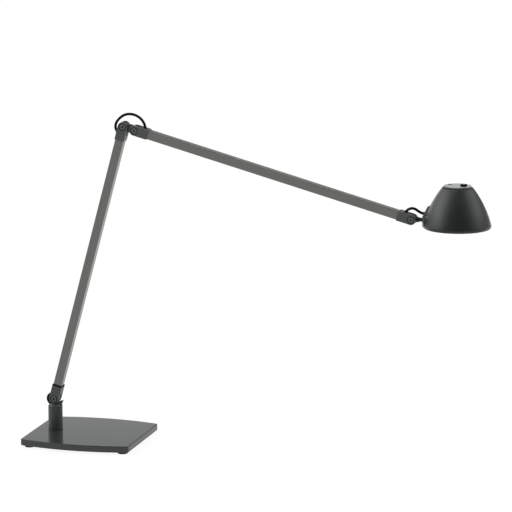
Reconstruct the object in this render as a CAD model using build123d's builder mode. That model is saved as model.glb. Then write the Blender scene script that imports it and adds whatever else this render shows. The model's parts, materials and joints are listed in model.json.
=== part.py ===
from build123d import *

import math
import os

# Swing arm desk lamp, in millimetres. The origin is on the desk under the centre of the base plate,
# +Z is up and +X runs from the base towards the lamp head. The arms move in the XZ plane.

# --- Base -------------------------------------------------------------------------------------------
BASE_W = 195.0  # along X
BASE_D = 168.0  # along Y at the corners
BASE_BOW = 13.4  # how far the front and back edges bow out at their middles
BASE_T = 11.0
BASE_CORNER_R = 5.0
BASE_EDGE_R = 1.2
FOOT_R = 9.0
FOOT_H = 4.0
FOOT_INSET = 13.5
BASE_TOP = FOOT_H + BASE_T

# --- Post and swivel --------------------------------------------------------------------------------
POST_X = -62.5
POST_R = 12.5
POST_BORE_R = 10.0
POST_H = 40.0
POST_TOP = BASE_TOP + POST_H
POST_PLUG_H = 12.0
BOLT_R = 4.0
BOLT_HEAD_R = 6.5
BOLT_HEAD_H = 5.0
BOLT_FLANGE_R = 9.0
BOLT_FLANGE_T = 1.6
BOLT_UP = 9.0  # how far the bolt reaches into the post's plug
INLET_Z = BASE_TOP + 16.0
INLET_R = 2.6  # the cord's hole through the grommet
GROMMET_R = 4.0
SPIGOT_R = 8.0
SPIGOT_BORE_R = 5.0
SPIGOT_LEN = 19.0
BUSH_CLEAR = 0.05
UPPER_BUSH_LEN = 6.0
LOWER_BUSH_LEN = 4.0
BUSH_FLANGE_R = 11.6
BUSH_FLANGE_T = 0.6
COLLAR_BOTTOM = POST_TOP + BUSH_FLANGE_T
COLLAR_T = 2.0
COLLAR_TOP = COLLAR_BOTTOM + COLLAR_T
NECK_R = 10.5
NECK_H = 3.0
STOP_Z = POST_TOP - 11.2  # height of the stop screw and of the groove that it runs in
STOP_R = 2.0
STOP_GROOVE_W = 4.6
STOP_GROOVE_DEPTH = 1.6
STOP_LUG = ((6, -13.5), (11.8, -13.5), (12.4, -8.5), (15.2, -3), (11.6, -4.4), (9, -4.4), (7.6, -6.6), (5.6, -8.6))
STOP_LAND_DEG = 16.0  # the part of the groove that is left uncut, which stops the turn

# --- Arms -------------------------------------------------------------------------------------------
ARM_L = 500.0  # pivot to pivot, both arms
ARM_LEAN = 15.0  # lower arm from the vertical, upper arm below the horizontal
PIVOT_Z = 70.5
LINK_L = 21.5
TUBE_W = 15.0
TUBE_WALL = 1.3
TUBE_CORNER_R = 0.9

# --- Knuckles and pivots ----------------------------------------------------------------------------
KNUCKLE_R = 8.5
KNUCKLE_D = 19.0
KNUCKLE_L = 24.5  # pivot to the shoulder that the tube butts on
KNUCKLE_EDGE = 0.7
SEAL_START = 23.5  # the foot knuckle's black seal, between its shoulder and the tube
SEAL_END = 25.7
PLUG_W = TUBE_W - 2 * TUBE_WALL - 0.1
PLUG_L = 20.0
SLOT_W = 6.2
SLOT_L = 10.5  # pivot to the bottom of the slot
TONGUE_R = 7.0
TONGUE_T = 5.0
WASHER_T = 0.55
WASHER_R = 7.6
PIN_R = 3.0
PIN_CLEAR = 0.05
PIN_BUSH_R = 4.2
SINK_R = 6.5  # round recess for the bolt's head, and for its nut
SINK_FRONT = 3.4
SINK_BACK = 4.2
HEAD_R = 5.2
HEAD_H = 3.0
HEX_R = 2.0
HEX_DEPTH = 4.0
NUT_R = 5.6
NUT_FLANGE_T = 0.9
NUT_H = 2.9
SCREW_R = 1.5
SCREW_HEAD_R = 2.6
SCREW_HEAD_H = 1.2
SCREW_LEN = 4.0

# --- Cable ------------------------------------------------------------------------------------------
CABLE_R = 1.9
NECK_HOLE_R = 2.4
LEAD_BORE_R = 2.8
BORE_OVERRUN = 1.2  # how far a knuckle's two bores run past the place where they cross
GLAND_R = 2.8
GLAND_BORE_R = 1.95
GLAND_PROUD = 2.2
GLAND_DEEP = 2.5
LEAD_Y = 2.5  # the lead's distance from the arm's middle line, on the outer side
ARC_SHARE = 0.45  # share of the shorter run that an arc takes up

# --- Head -------------------------------------------------------------------------------------------
SHADE_DX = 77.1  # head pivot to the shade's axis
RIM_BELOW = 10.6  # the rim's plane below the head pivot
SHADE_ARC_R = 177.15  # the wall's section is one arc of this radius
SHADE_ARC_X = -114.3  # the arc's centre, from the shade's axis
SHADE_ARC_Z = -40.57  # and from the rim's plane
SHADE_WALL = 1.5
SHADE_TOP_H = 68.1
LIP_H = 4.2
LIP_TUCK = 1.9
SHELF_H = 62.0  # underside of the shade's inner shelf
SHELF_T = 1.5
CAP_TOP_H = 71.0
CAP_T = 2.2
CAP_R = 23.3
CAP_SKIRT_R = 21.8
CAP_SKIRT_BORE_R = 20.3
BUTTON_X = 9.5
BUTTON_Y = 4.5
BUTTON_R = 5.6
BUTTON_HOLE_R = 5.95
BUTTON_FLANGE_R = 6.9
BUTTON_FLANGE_T = 0.7
BUTTON_PROUD = 2.0
BUTTON_TRAVEL = 1.0
DOT_R = 1.9
SENSOR_X = -14.9
SENSOR_Y = 8.7
SENSOR_R = 3.7
SENSOR_T = 0.8
SCREW_RING_R = 17.0
VENT_R = 2.0
SINK_PLATE_R = 22.0
SINK_PLATE_T = 5.0
SINK_PLATE_H = 50.0
FIN_R = 19.5
FIN_T = 1.4
FIN_PITCH = 4.4
FIN_COUNT = 7
BOARD_R = 13.0
BOARD_T = 1.6
CHIP_R = 6.5
CHIP_T = 1.0
REFLECTOR_TOP_R = 15.0
REFLECTOR_WALL = 1.0
REFLECTOR_RIM_H = 24.0
DIFFUSER_T = 2.0
DIFFUSER_R = 38.5
SWITCH_BOARD_T = 1.2
SWITCH_T = 1.1
SWITCH_PLUNGER = 0.7
STEM_R = 3.4
STEM_COLLAR_R = 4.6
STEM_COLLAR_X = 9.0
STEM_COLLAR_L = 3.2
ROD_BUSH_R = 4.6
ROD_BUSH_END = 26.0  # head pivot to the bush's inner end
ROD_FLANGE_T = 0.8
ROD_NUT_R = 5.5
ROD_NUT_H = 2.7
BRACKET_X = 19.1  # head pivot to the bracket's outer face
BRACKET_W = 14.0
BRACKET_TOP = 23.5
BRACKET_KNEE = 6.4
BRACKET_BOTTOM = -12.0
BRACKET_SLANT = 8.6
BRACKET_SCREW_R = 1.25
BRACKET_SCREW_BITE = 2.2
HEAD_GLAND_Z = 10.6

os.makedirs("parts", exist_ok=True)


def write(part, node):
    part.label = node
    export_step(part, f"parts/{node}.step")


# Plane in XZ: local x runs along the given direction, local y is a quarter turn anticlockwise from it as
# seen from the front (-Y), and the plane's normal points to the front.
def side_plane(x, z, degrees):
    a = math.radians(degrees)
    return Plane(origin=(x, 0, z), x_dir=(math.cos(a), 0, math.sin(a)), z_dir=(0, -1, 0))


def at(plane, x, y):
    return plane.from_local_coords(Vector(x, y, 0))


def along(plane, degrees):
    a = math.radians(degrees)
    return plane.x_dir * math.cos(a) + plane.y_dir * math.sin(a)


LOWER_UP = 90 - ARM_LEAN
FOOT_PLANE = side_plane(POST_X, PIVOT_Z, LOWER_UP)
ELBOW_A = at(FOOT_PLANE, ARM_L, 0)
ELBOW_A_PLANE = side_plane(ELBOW_A.X, ELBOW_A.Z, LOWER_UP + 180)
LINK_PLANE = side_plane(ELBOW_A.X, ELBOW_A.Z, -ARM_LEAN)
ELBOW_B = at(LINK_PLANE, LINK_L, 0)
ELBOW_B_PLANE = side_plane(ELBOW_B.X, ELBOW_B.Z, -ARM_LEAN)
HEAD_PIVOT = at(ELBOW_B_PLANE, ARM_L, 0)
HEAD_PLANE = side_plane(HEAD_PIVOT.X, HEAD_PIVOT.Z, 180 - ARM_LEAN)
STEM_PLANE = side_plane(HEAD_PIVOT.X, HEAD_PIVOT.Z, 0)
SHADE_X = HEAD_PIVOT.X + SHADE_DX
RIM_Z = HEAD_PIVOT.Z - RIM_BELOW


# --- Cable runs -------------------------------------------------------------------------------------
# A round cable along straight runs joined by arcs, each as large as its two runs allow. The radii and the
# volume's share of section times length are printed.
def cable(name, points):
    points = [Vector(*p) for p in points]
    radii = []
    for before, corner, after in zip(points, points[1:], points[2:]):
        run_in = corner - before
        run_out = after - corner
        half_turn = math.radians(run_in.get_angle(run_out)) / 2
        radii.append(ARC_SHARE * min(run_in.length, run_out.length) / math.tan(half_turn))
    with BuildPart() as tube:
        with BuildLine() as route:
            if radii:
                FilletPolyline(*points, radius=radii)
            else:
                Line(*points)
        with BuildSketch(Plane(origin=route.wire() @ 0, z_dir=route.wire() % 0)):
            Circle(CABLE_R)
        sweep()
    length = route.wire().length
    share = tube.part.volume / (math.pi * CABLE_R**2 * length)
    print(name, "length", round(length, 1), "radii", [round(r, 1) for r in radii], "share", round(share, 4))
    return tube.part


# --- Knuckle ----------------------------------------------------------------------------------------
# The clevis on an arm's end. The plane is at the pivot with local x along the arm, and outer is +1 or -1
# for the side of local y where the cable comes out. Where exit_at is None the cable leaves through the
# bottom of the slot instead, on that side.
def knuckle(plane, outer, exit_at=None, exit_angle=0.0, relief=False, shoulder=KNUCKLE_L):
    along_arm = Axis(plane.origin, plane.x_dir)
    with BuildPart() as body:
        with BuildSketch(plane):
            Circle(KNUCKLE_R)
            with Locations((shoulder / 2, 0)):
                Rectangle(shoulder, 2 * KNUCKLE_R)
        extrude(amount=KNUCKLE_D / 2, both=True)
        cheek_edges = body.faces().filter_by(Axis.Y).edges()
        shoulder_edges = body.edges().filter_by(Axis.Y).sort_by(along_arm)[-2:]
        chamfer(cheek_edges + shoulder_edges, KNUCKLE_EDGE)
        with BuildSketch(plane):
            with Locations(((shoulder + KNUCKLE_L + PLUG_L) / 2, 0)):
                Rectangle(KNUCKLE_L + PLUG_L - shoulder, PLUG_W)
        extrude(amount=PLUG_W / 2, both=True)
        with BuildSketch(plane):
            with Locations(((SLOT_L - 2 * KNUCKLE_R) / 2, 0)):
                Rectangle(SLOT_L + 2 * KNUCKLE_R, 3 * KNUCKLE_R)
            if relief:
                with BuildLine():
                    Polyline(
                        (SLOT_L - 1, 0),
                        (SLOT_L + 5, -outer * 1.2 * KNUCKLE_R),
                        (0, -outer * 1.2 * KNUCKLE_R),
                        close=True,
                    )
                make_face()
        extrude(amount=SLOT_W / 2, both=True, mode=Mode.SUBTRACT)
        with BuildSketch(plane):
            Circle(PIN_R)
        extrude(amount=KNUCKLE_D / 2, both=True, mode=Mode.SUBTRACT)
        with BuildSketch(plane.offset(KNUCKLE_D / 2)):
            Circle(SINK_R)
        extrude(amount=-SINK_FRONT, mode=Mode.SUBTRACT)
        with BuildSketch(plane.offset(-KNUCKLE_D / 2)):
            Circle(SINK_R)
        extrude(amount=SINK_BACK, mode=Mode.SUBTRACT)
        bore_start = KNUCKLE_L + PLUG_L
        bore_end = SLOT_L - 1
        if exit_at is not None:
            drop = (KNUCKLE_R - LEAD_Y) / math.tan(math.radians(exit_angle))
            bore_end = exit_at + drop - BORE_OVERRUN
        with BuildSketch(Plane(at(plane, bore_start, outer * LEAD_Y), x_dir=(0, 1, 0), z_dir=plane.x_dir)):
            Circle(LEAD_BORE_R)
        extrude(amount=-(bore_start - bore_end), mode=Mode.SUBTRACT)
        if exit_at is not None:
            mouth = at(plane, exit_at, outer * KNUCKLE_R)
            outward = exit_direction(plane, outer, exit_angle)
            with BuildSketch(Plane(mouth + outward * 4, x_dir=(0, 1, 0), z_dir=outward)):
                Circle(LEAD_BORE_R)
            depth = 4 + (KNUCKLE_R - LEAD_Y) / math.sin(math.radians(exit_angle)) + BORE_OVERRUN
            extrude(amount=-depth, mode=Mode.SUBTRACT)
        with BuildSketch(plane.offset(-PLUG_W / 2)):
            with Locations((KNUCKLE_L + PLUG_L / 2, -outer * LEAD_Y)):
                Circle(SCREW_R)
        extrude(amount=SCREW_LEN, mode=Mode.SUBTRACT)
    return body.part


# The cable's direction as it leaves a knuckle: towards the pivot, and outwards.
def exit_direction(plane, outer, exit_angle):
    a = math.radians(exit_angle)
    return plane.x_dir * -math.cos(a) + plane.y_dir * (outer * math.sin(a))


def gland(plane, outer, exit_at, exit_angle):
    outward = exit_direction(plane, outer, exit_angle)
    start = at(plane, exit_at, outer * KNUCKLE_R) - outward * GLAND_DEEP
    with BuildPart() as ring:
        with BuildSketch(Plane(start, x_dir=(0, 1, 0), z_dir=outward)):
            Circle(GLAND_R)
            Circle(GLAND_BORE_R, mode=Mode.SUBTRACT)
        extrude(amount=GLAND_DEEP + GLAND_PROUD)
    return ring.part


# --- Pivot hardware, each made at a plane whose origin is the pivot -----------------------------------
FRONT_FLOOR = KNUCKLE_D / 2 - SINK_FRONT
BACK_FLOOR = KNUCKLE_D / 2 - SINK_BACK


def pivot_bolt(plane):
    with BuildPart() as bolt:
        with BuildSketch(plane.offset(FRONT_FLOOR)):
            Circle(HEAD_R)
        extrude(amount=HEAD_H)
        chamfer(bolt.edges().filter_by(GeomType.CIRCLE).sort_by(Axis.Y)[0], 0.35)
        with BuildSketch(plane.offset(FRONT_FLOOR + HEAD_H)):
            RegularPolygon(HEX_R, 6)
        extrude(amount=-HEX_DEPTH, mode=Mode.SUBTRACT)
        with BuildSketch(plane.offset(-BACK_FLOOR - NUT_FLANGE_T - NUT_H)):
            Circle(PIN_R)
        extrude(amount=FRONT_FLOOR + BACK_FLOOR + NUT_FLANGE_T + NUT_H)
    return bolt.part


def pivot_nut(plane):
    with BuildPart() as nut:
        with BuildSketch(plane.offset(-BACK_FLOOR)):
            Circle(NUT_R)
            Circle(PIN_R, mode=Mode.SUBTRACT)
        extrude(amount=-NUT_FLANGE_T)
        with BuildSketch(plane.offset(-BACK_FLOOR - NUT_FLANGE_T)):
            RegularPolygon(NUT_R, 6)
            Circle(PIN_R, mode=Mode.SUBTRACT)
        extrude(amount=-NUT_H)
    return nut.part


def friction_washers(plane):
    with BuildPart() as washers:
        for side in (1, -1):
            with BuildSketch(plane.offset(side * SLOT_W / 2)):
                Circle(WASHER_R)
                Circle(PIN_R + PIN_CLEAR, mode=Mode.SUBTRACT)
            extrude(amount=-side * WASHER_T)
    return washers.part


def pivot_bush(plane):
    with BuildPart() as bush:
        with BuildSketch(plane):
            Circle(PIN_BUSH_R)
            Circle(PIN_R + PIN_CLEAR, mode=Mode.SUBTRACT)
        extrude(amount=TONGUE_T / 2, both=True)
    return bush.part


def tube_screw(plane, outer):
    with BuildPart() as screw:
        with BuildSketch(plane.offset(-TUBE_W / 2)):
            with Locations((KNUCKLE_L + PLUG_L / 2, -outer * LEAD_Y)):
                Circle(SCREW_HEAD_R)
        extrude(amount=-SCREW_HEAD_H)
        chamfer(screw.edges().filter_by(GeomType.CIRCLE).sort_by(Axis.Y)[-1], 0.3)
        with BuildSketch(plane.offset(-TUBE_W / 2)):
            with Locations((KNUCKLE_L + PLUG_L / 2, -outer * LEAD_Y)):
                Circle(SCREW_R)
        extrude(amount=SCREW_LEN + TUBE_WALL)
    return screw.part


def arm_tube(plane, outers, start=KNUCKLE_L):
    with BuildPart() as tube:
        with BuildSketch(Plane(at(plane, start, 0), x_dir=(0, 1, 0), z_dir=plane.x_dir)):
            RectangleRounded(TUBE_W, TUBE_W, TUBE_CORNER_R)
            inner = TUBE_W - 2 * TUBE_WALL
            Rectangle(inner, inner, mode=Mode.SUBTRACT)
        extrude(amount=ARM_L - KNUCKLE_L - start)
        with BuildSketch(plane.offset(-TUBE_W / 2)):
            with Locations((KNUCKLE_L + PLUG_L / 2, outers[0] * LEAD_Y)):
                Circle(SCREW_R)
            with Locations((ARM_L - KNUCKLE_L - PLUG_L / 2, outers[1] * LEAD_Y)):
                Circle(SCREW_R)
        extrude(amount=2 * TUBE_WALL, mode=Mode.SUBTRACT)
    return tube.part


def group(*pieces):
    with BuildPart() as together:
        for piece in pieces:
            add(piece)
    return together.part


# --- Base plate and feet ----------------------------------------------------------------------------
with BuildPart() as base_plate:
    with BuildSketch(Plane.XY.offset(FOOT_H)):
        with BuildLine():
            half_w = BASE_W / 2
            half_d = BASE_D / 2
            ThreePointArc((-half_w, -half_d), (0, -half_d - BASE_BOW), (half_w, -half_d))
            Line((half_w, -half_d), (half_w, half_d))
            ThreePointArc((half_w, half_d), (0, half_d + BASE_BOW), (-half_w, half_d))
            Line((-half_w, half_d), (-half_w, -half_d))
        make_face()
    extrude(amount=BASE_T)
    fillet(base_plate.edges().filter_by(Axis.Z), BASE_CORNER_R)
    fillet(base_plate.faces().sort_by(Axis.Z)[-1].edges(), BASE_EDGE_R)
    chamfer(base_plate.faces().sort_by(Axis.Z)[0].edges(), 0.6)
    with BuildSketch(Plane.XY.offset(FOOT_H)):
        with Locations((POST_X, 0)):
            Circle(BOLT_R + 0.3)
    extrude(amount=BASE_T, mode=Mode.SUBTRACT)
    with BuildSketch(Plane.XY.offset(FOOT_H)):
        with Locations((POST_X, 0)):
            Circle(BOLT_FLANGE_R + 0.3)
    extrude(amount=BOLT_HEAD_H + BOLT_FLANGE_T, mode=Mode.SUBTRACT)
write(base_plate.part, "base_plate")

with BuildPart() as base_feet:
    with BuildSketch():
        with GridLocations(BASE_W - 2 * FOOT_INSET, BASE_D - 2 * FOOT_INSET + 5, 2, 2):
            Circle(FOOT_R)
    extrude(amount=FOOT_H)
    chamfer(base_feet.edges().filter_by(GeomType.CIRCLE).group_by(Axis.Z)[0], 0.8)
write(base_feet.part, "base_feet")

# --- Post -------------------------------------------------------------------------------------------
with BuildPart() as post_tube:
    with BuildSketch(Plane.XY.offset(BASE_TOP)):
        with Locations((POST_X, 0)):
            Circle(POST_R)
            Circle(POST_BORE_R, mode=Mode.SUBTRACT)
    extrude(amount=POST_H)
    outer_rims = post_tube.edges().filter_by(GeomType.CIRCLE).filter_by(lambda e: e.radius > POST_BORE_R + 1)
    chamfer(outer_rims, 0.4)
    with BuildSketch(Plane(origin=(POST_X, 0, INLET_Z), x_dir=(1, 0, 0), z_dir=(0, 1, 0))):
        Circle(GROMMET_R)
    extrude(amount=2 * POST_R, mode=Mode.SUBTRACT)
    with BuildSketch(Plane(origin=(POST_X, 0, STOP_Z), x_dir=(1, 0, 0), z_dir=(0, 1, 0))):
        Circle(STOP_R)
    extrude(amount=2 * POST_R, mode=Mode.SUBTRACT)
write(post_tube.part, "post_tube")

with BuildPart() as post_plug:
    with BuildSketch(Plane.XY.offset(BASE_TOP)):
        with Locations((POST_X, 0)):
            Circle(POST_BORE_R)
            Circle(BOLT_R, mode=Mode.SUBTRACT)
    extrude(amount=POST_PLUG_H)
write(post_plug.part, "post_plug")

with BuildPart() as post_bolt:
    with BuildSketch(Plane.XY.offset(FOOT_H)):
        with Locations((POST_X, 0)):
            Circle(BOLT_HEAD_R)
    extrude(amount=BOLT_HEAD_H)
    with BuildSketch(Plane.XY.offset(FOOT_H)):
        with Locations((POST_X, 0)):
            RegularPolygon(3.4, 6)
    extrude(amount=3, mode=Mode.SUBTRACT)
    with BuildSketch(Plane.XY.offset(FOOT_H + BOLT_HEAD_H)):
        with Locations((POST_X, 0)):
            Circle(BOLT_FLANGE_R)
    extrude(amount=BOLT_FLANGE_T)
    with BuildSketch(Plane.XY.offset(FOOT_H + BOLT_HEAD_H)):
        with Locations((POST_X, 0)):
            Circle(BOLT_R)
    extrude(amount=BASE_TOP + BOLT_UP - FOOT_H - BOLT_HEAD_H)
write(post_bolt.part, "post_bolt")

with BuildPart() as inlet_grommet:
    wall_out = math.sqrt(POST_R**2 - GROMMET_R**2)
    with BuildSketch(Plane(origin=(POST_X, POST_BORE_R - 0.6, INLET_Z), x_dir=(1, 0, 0), z_dir=(0, 1, 0))):
        Circle(GROMMET_R)
        Circle(INLET_R, mode=Mode.SUBTRACT)
    extrude(amount=POST_R + 1.2 - POST_BORE_R)
write(inlet_grommet.part, "inlet_grommet")

CONNECTOR_Z = BASE_TOP + POST_PLUG_H
CONNECTOR_H = 7.0
with BuildPart() as lead_connector:
    with BuildSketch(Plane.XY.offset(CONNECTOR_Z)):
        with Locations((POST_X, 0)):
            RectangleRounded(9, 7, 1)
    extrude(amount=CONNECTOR_H)
write(lead_connector.part, "lead_connector")

# The stop screw reaches through the wall into the spigot's groove.
with BuildPart() as swivel_stop_screw:
    with BuildSketch(
        Plane(origin=(POST_X, SPIGOT_R - STOP_GROOVE_DEPTH + 0.3, STOP_Z), x_dir=(1, 0, 0), z_dir=(0, 1, 0))
    ):
        Circle(STOP_R)
    extrude(amount=POST_R - 0.3 - SPIGOT_R + STOP_GROOVE_DEPTH - 0.3)
    with BuildSketch(Plane(origin=(POST_X, POST_R - 0.3, STOP_Z), x_dir=(1, 0, 0), z_dir=(0, 1, 0))):
        RegularPolygon(1.1, 6)
    extrude(amount=-1.5, mode=Mode.SUBTRACT)
write(swivel_stop_screw.part, "swivel_stop_screw")


def swivel_bush(bottom, length, flanged):
    with BuildPart() as bush:
        with BuildSketch(Plane.XY.offset(bottom)):
            with Locations((POST_X, 0)):
                Circle(POST_BORE_R)
                Circle(SPIGOT_R + BUSH_CLEAR, mode=Mode.SUBTRACT)
        extrude(amount=length)
        if flanged:
            with BuildSketch(Plane.XY.offset(bottom + length)):
                with Locations((POST_X, 0)):
                    Circle(BUSH_FLANGE_R)
                    Circle(SPIGOT_R + BUSH_CLEAR, mode=Mode.SUBTRACT)
            extrude(amount=BUSH_FLANGE_T - BUSH_CLEAR)
    return bush.part


upper_bush = swivel_bush(POST_TOP - UPPER_BUSH_LEN, UPPER_BUSH_LEN, True)
lower_bush = swivel_bush(POST_TOP - SPIGOT_LEN + 0.4, LOWER_BUSH_LEN, False)
write(group(upper_bush, lower_bush), "swivel_bushes")

# --- Swivel head ------------------------------------------------------------------------------------
# The cable's slanting hole runs from the neck's top to the spigot's axis.
HOLE_TOP = Vector(POST_X - 9.2, 0, COLLAR_TOP + NECK_H)
HOLE_BOTTOM = Vector(POST_X, 0, HOLE_TOP.Z - 10.45)
HOLE_UP = (HOLE_TOP - HOLE_BOTTOM).normalized()
SPIGOT_BOTTOM = POST_TOP - SPIGOT_LEN
with BuildPart() as swivel_head:
    with BuildSketch(Plane.XY.offset(COLLAR_BOTTOM)):
        with Locations((POST_X, 0)):
            Circle(POST_R)
    extrude(amount=COLLAR_T)
    chamfer(swivel_head.edges().filter_by(GeomType.CIRCLE), 0.4)
    with BuildSketch(Plane.XY.offset(COLLAR_TOP)):
        with Locations((POST_X, 0)):
            Circle(NECK_R)
    extrude(amount=NECK_H, taper=20)
    with BuildSketch(side_plane(POST_X, PIVOT_Z, 90)):
        Circle(TONGUE_R)
        with Locations((-(PIVOT_Z - COLLAR_TOP - NECK_H / 2) / 2, 0)):
            Rectangle(PIVOT_Z - COLLAR_TOP - NECK_H / 2, 2 * TONGUE_R)
    extrude(amount=TONGUE_T / 2, both=True)
    with BuildSketch(side_plane(POST_X, PIVOT_Z, 0)):
        with BuildLine():
            Polyline(*STOP_LUG, close=True)
        make_face()
    extrude(amount=TONGUE_T / 2, both=True)
    with BuildSketch(Plane.XY.offset(SPIGOT_BOTTOM)):
        with Locations((POST_X, 0)):
            Circle(SPIGOT_R)
    extrude(amount=COLLAR_BOTTOM - SPIGOT_BOTTOM)
    with BuildSketch(Plane.XY.offset(STOP_Z - STOP_GROOVE_W / 2)):
        with Locations((POST_X, 0)):
            Circle(SPIGOT_R + 1)
            Circle(SPIGOT_R - STOP_GROOVE_DEPTH, mode=Mode.SUBTRACT)
            land = 2 * SPIGOT_R * math.tan(math.radians(STOP_LAND_DEG / 2))
        with BuildLine():
            Polyline((POST_X, 0), (POST_X - land, -2 * SPIGOT_R), (POST_X + land, -2 * SPIGOT_R), close=True)
        make_face(mode=Mode.SUBTRACT)
    extrude(amount=STOP_GROOVE_W, mode=Mode.SUBTRACT)
    with BuildSketch(Plane.XY.offset(SPIGOT_BOTTOM)):
        with Locations((POST_X, 0)):
            Circle(SPIGOT_BORE_R)
    extrude(amount=HOLE_BOTTOM.Z - SPIGOT_BOTTOM, mode=Mode.SUBTRACT)
    with BuildSketch(side_plane(POST_X, PIVOT_Z, 0)):
        Circle(PIN_BUSH_R)
    extrude(amount=TONGUE_T, both=True, mode=Mode.SUBTRACT)
    with BuildSketch(Plane(HOLE_TOP + HOLE_UP * 3, x_dir=(0, 1, 0), z_dir=HOLE_UP)):
        Circle(NECK_HOLE_R)
    extrude(amount=-(HOLE_TOP - HOLE_BOTTOM).length - 4, mode=Mode.SUBTRACT)
write(swivel_head.part, "swivel_head")
write(pivot_bush(FOOT_PLANE), "swivel_pivot_bush")

# --- Lower arm --------------------------------------------------------------------------------------
# The outer side is +y of the foot plane and -y of the elbow plane, because that one points the other way.
ELBOW_LOW_EXIT = 13.0
ELBOW_LOW_ANGLE = 45.0
write(knuckle(FOOT_PLANE, 1, shoulder=SEAL_START), "lower_arm_foot_knuckle")
with BuildPart() as foot_knuckle_seal:
    with BuildSketch(Plane(at(FOOT_PLANE, SEAL_START, 0), x_dir=(0, 1, 0), z_dir=FOOT_PLANE.x_dir)):
        Rectangle(KNUCKLE_D, 2 * KNUCKLE_R)
        Rectangle(PLUG_W, PLUG_W, mode=Mode.SUBTRACT)
    extrude(amount=SEAL_END - SEAL_START)
    chamfer(foot_knuckle_seal.faces().sort_by(Axis(FOOT_PLANE.origin, FOOT_PLANE.x_dir))[-1].outer_wire().edges(), 0.5)
write(foot_knuckle_seal.part, "foot_knuckle_seal")
write(knuckle(ELBOW_A_PLANE, -1, ELBOW_LOW_EXIT, ELBOW_LOW_ANGLE, relief=True), "lower_arm_elbow_knuckle")
write(arm_tube(FOOT_PLANE, (-1, -1), SEAL_END), "lower_arm_tube")
write(gland(ELBOW_A_PLANE, -1, ELBOW_LOW_EXIT, ELBOW_LOW_ANGLE), "lower_arm_cable_gland")

# --- Upper arm --------------------------------------------------------------------------------------
ELBOW_HIGH_EXIT = 15.7
ELBOW_HIGH_ANGLE = 65.0
HEAD_EXIT = 13.5
HEAD_ANGLE = 50.0
write(knuckle(ELBOW_B_PLANE, 1, ELBOW_HIGH_EXIT, ELBOW_HIGH_ANGLE), "upper_arm_elbow_knuckle")
write(knuckle(HEAD_PLANE, -1, HEAD_EXIT, HEAD_ANGLE), "upper_arm_head_knuckle")
write(arm_tube(ELBOW_B_PLANE, (-1, -1)), "upper_arm_tube")
high_gland = gland(ELBOW_B_PLANE, 1, ELBOW_HIGH_EXIT, ELBOW_HIGH_ANGLE)
head_end_gland = gland(HEAD_PLANE, -1, HEAD_EXIT, HEAD_ANGLE)
write(group(high_gland, head_end_gland), "upper_arm_cable_glands")

# --- Pivot hardware of both arms --------------------------------------------------------------------
for arm, ends in (("lower", (FOOT_PLANE, ELBOW_A_PLANE)), ("upper", (ELBOW_B_PLANE, HEAD_PLANE))):
    write(group(*[pivot_bolt(p) for p in ends]), f"{arm}_arm_pivot_bolts")
    write(group(*[pivot_nut(p) for p in ends]), f"{arm}_arm_pivot_nuts")
    write(group(*[friction_washers(p) for p in ends]), f"{arm}_arm_friction_washers")
    write(group(tube_screw(ends[0], 1), tube_screw(ends[1], -1)), f"{arm}_arm_tube_screws")

# --- Elbow link -------------------------------------------------------------------------------------
with BuildPart() as elbow_link:
    with BuildSketch(LINK_PLANE):
        with Locations((LINK_L / 2, 0)):
            SlotOverall(LINK_L + 2 * TONGUE_R, 2 * TONGUE_R)
        with Locations((0, 0), (LINK_L, 0)):
            Circle(PIN_BUSH_R, mode=Mode.SUBTRACT)
    extrude(amount=TONGUE_T / 2, both=True)
write(elbow_link.part, "elbow_link")
write(group(pivot_bush(ELBOW_A_PLANE), pivot_bush(ELBOW_B_PLANE)), "elbow_link_bushes")

# --- Head stem --------------------------------------------------------------------------------------
ROD_END = ROD_BUSH_END + ROD_FLANGE_T + ROD_NUT_H + 1.2
with BuildPart() as stem_tongue:
    with BuildSketch(STEM_PLANE):
        Circle(TONGUE_R)
        with Locations((STEM_COLLAR_X / 2, 0)):
            Rectangle(STEM_COLLAR_X, 9)
        Circle(PIN_BUSH_R, mode=Mode.SUBTRACT)
    extrude(amount=TONGUE_T / 2, both=True)
write(stem_tongue.part, "stem_tongue")
write(pivot_bush(STEM_PLANE), "stem_pivot_bush")


# A plane across the stem, at a distance from the head pivot, with local y upwards.
def across_head(distance):
    return Plane(origin=(HEAD_PIVOT.X + distance, 0, HEAD_PIVOT.Z), x_dir=(0, 1, 0), z_dir=(1, 0, 0))


def stem_section(start, length, radius, bore=None, edge=0.0):
    with BuildPart() as piece:
        with BuildSketch(across_head(start)):
            Circle(radius)
            if bore:
                Circle(bore, mode=Mode.SUBTRACT)
        extrude(amount=length)
        if edge:
            rims = piece.edges().filter_by(GeomType.CIRCLE).filter_by(lambda e: e.radius > radius - 0.1)
            chamfer(rims, edge)
    return piece.part


write(stem_section(STEM_COLLAR_X, STEM_COLLAR_L, STEM_COLLAR_R, STEM_R, 0.4), "stem_collar")
write(stem_section(STEM_COLLAR_X, ROD_END - STEM_COLLAR_X, STEM_R), "stem_rod")


# --- Shade ------------------------------------------------------------------------------------------
# The radius of the shade's outer wall at a height above the rim, less a distance along its normal.
def wall_radius(height, inside=0.0):
    return SHADE_ARC_X + math.sqrt((SHADE_ARC_R - inside) ** 2 - (height - SHADE_ARC_Z) ** 2)


SHADE_PLANE = Plane(origin=(SHADE_X, 0, RIM_Z), x_dir=(1, 0, 0), z_dir=(0, -1, 0))
SHADE_AXIS = Axis((SHADE_X, 0, RIM_Z), (0, 0, 1))


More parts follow.
